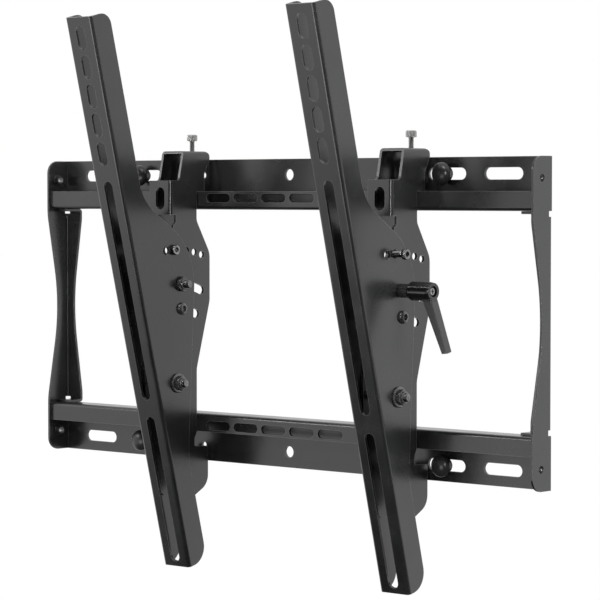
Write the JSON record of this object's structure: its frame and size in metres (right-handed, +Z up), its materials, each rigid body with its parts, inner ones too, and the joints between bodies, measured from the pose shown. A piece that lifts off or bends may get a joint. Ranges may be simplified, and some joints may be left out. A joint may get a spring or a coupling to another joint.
{
  "type": "tilting television wall bracket",
  "caption": "Flat steel wall plate with two hooked upright arms that tilt, shift sideways and level, for hanging a large flat screen.",
  "frame": {"origin": "Middle of the wall plate, on the wall plane.", "axes": "+X to the right seen from in front, +Y into the wall, +Z up."},
  "size_m": [0.489, 0.1361, 0.421],
  "materials": {
    "black_steel": "semi-gloss black powder coat",
    "black_fastener": "black oxide",
    "zinc_steel": "bright zinc plate",
    "black_plastic": "satin black",
    "black_gloss_plastic": "polished black"
  },
  "bodies": {
    "wall_plate": {"top_rail": "black_steel", "bottom_rail": "black_steel", "left_upright": "black_steel", "right_upright": "black_steel", "cap_top_left": "black_gloss_plastic", "cap_top_right": "black_gloss_plastic", "cap_bottom_left": "black_gloss_plastic", "cap_bottom_right": "black_gloss_plastic"},
    "left_foot": {"left_screw_foot": "black_plastic"},
    "left_screw": {"left_height_screw": "zinc_steel"},
    "left_hook": {"left_bracket": "black_steel", "left_clinch_nut": "zinc_steel"},
    "left_tilt_arm": {"left_arm": "black_steel", "left_pivot_bolt": "black_fastener", "left_pivot_washer": "black_fastener", "left_pivot_nut": "black_fastener", "left_stop_nut": "black_fastener", "left_stop_screw": "black_fastener", "left_index_screw": "black_fastener", "left_tension_bolt": "black_fastener", "left_tension_nut": "black_fastener"},
    "right_foot": {"right_screw_foot": "black_plastic"},
    "right_screw": {"right_height_screw": "zinc_steel"},
    "right_hook": {"right_bracket": "black_steel", "right_clinch_nut": "zinc_steel"},
    "right_tilt_arm": {"right_arm": "black_steel", "right_pivot_bolt": "black_fastener", "right_pivot_washer": "black_fastener", "right_pivot_nut": "black_fastener", "right_stop_nut": "black_fastener", "right_stop_screw": "black_fastener", "right_index_screw": "black_fastener", "right_tension_bolt": "black_fastener"},
    "lever_core": {"right_lever_insert": "black_fastener", "right_lever_centre_screw": "zinc_steel", "right_lever_spring": "zinc_steel"},
    "lever_grip": {"right_lever_handle": "black_plastic"}
  },
  "joints": [
    {"name": "left_shift", "type": "slide", "parent": "wall_plate", "child": "left_foot", "axis": [1, 0, 0], "range_m": [-0.042, 0.065]},
    {"name": "left_lift", "type": "slide", "parent": "left_foot", "child": "left_hook", "axis": [0, 0, 1], "range_m": [0, 0.0042]},
    {"name": "left_screw_turn", "type": "hinge", "parent": "left_foot", "child": "left_screw", "pos_m": [-0.09, -0.0139, 0.1], "axis": [0, 0, -1], "range_deg": [0, 2160]},
    {"name": "left_tilt", "type": "hinge", "parent": "left_hook", "child": "left_tilt_arm", "pos_m": [-0.09, -0.0445, -0.054], "axis": [-1, 0, 0], "range_deg": [0, 19]},
    {"name": "right_shift", "type": "slide", "parent": "wall_plate", "child": "right_foot", "axis": [1, 0, 0], "range_m": [-0.1035, 0.004]},
    {"name": "right_lift", "type": "slide", "parent": "right_foot", "child": "right_hook", "axis": [0, 0, 1], "range_m": [0, 0.0042]},
    {"name": "right_screw_turn", "type": "hinge", "parent": "right_foot", "child": "right_screw", "pos_m": [0.1285, -0.0139, 0.1], "axis": [0, 0, -1], "range_deg": [0, 2160]},
    {"name": "right_tilt", "type": "hinge", "parent": "right_hook", "child": "right_tilt_arm", "pos_m": [0.1285, -0.0445, -0.054], "axis": [-1, 0, 0], "range_deg": [0, 19]},
    {"name": "lever_turn", "type": "hinge", "parent": "right_tilt_arm", "child": "lever_core", "pos_m": [0.15, -0.0408, 0.02171], "axis": [1, 0, 0], "continuous": true},
    {"name": "lever_pull", "type": "slide", "parent": "lever_core", "child": "lever_grip", "axis": [1, 0, 0], "range_m": [0, 0.003], "stiffness_N_per_m": 1200, "springref_m": -0.002, "deforming": ["right_lever_spring"]}
  ],
  "couplings": [
    {"joint": "left_screw_turn", "follows": "left_lift", "rad_per_m": 8976},
    {"joint": "right_screw_turn", "follows": "right_lift", "rad_per_m": 8976}
  ]
}
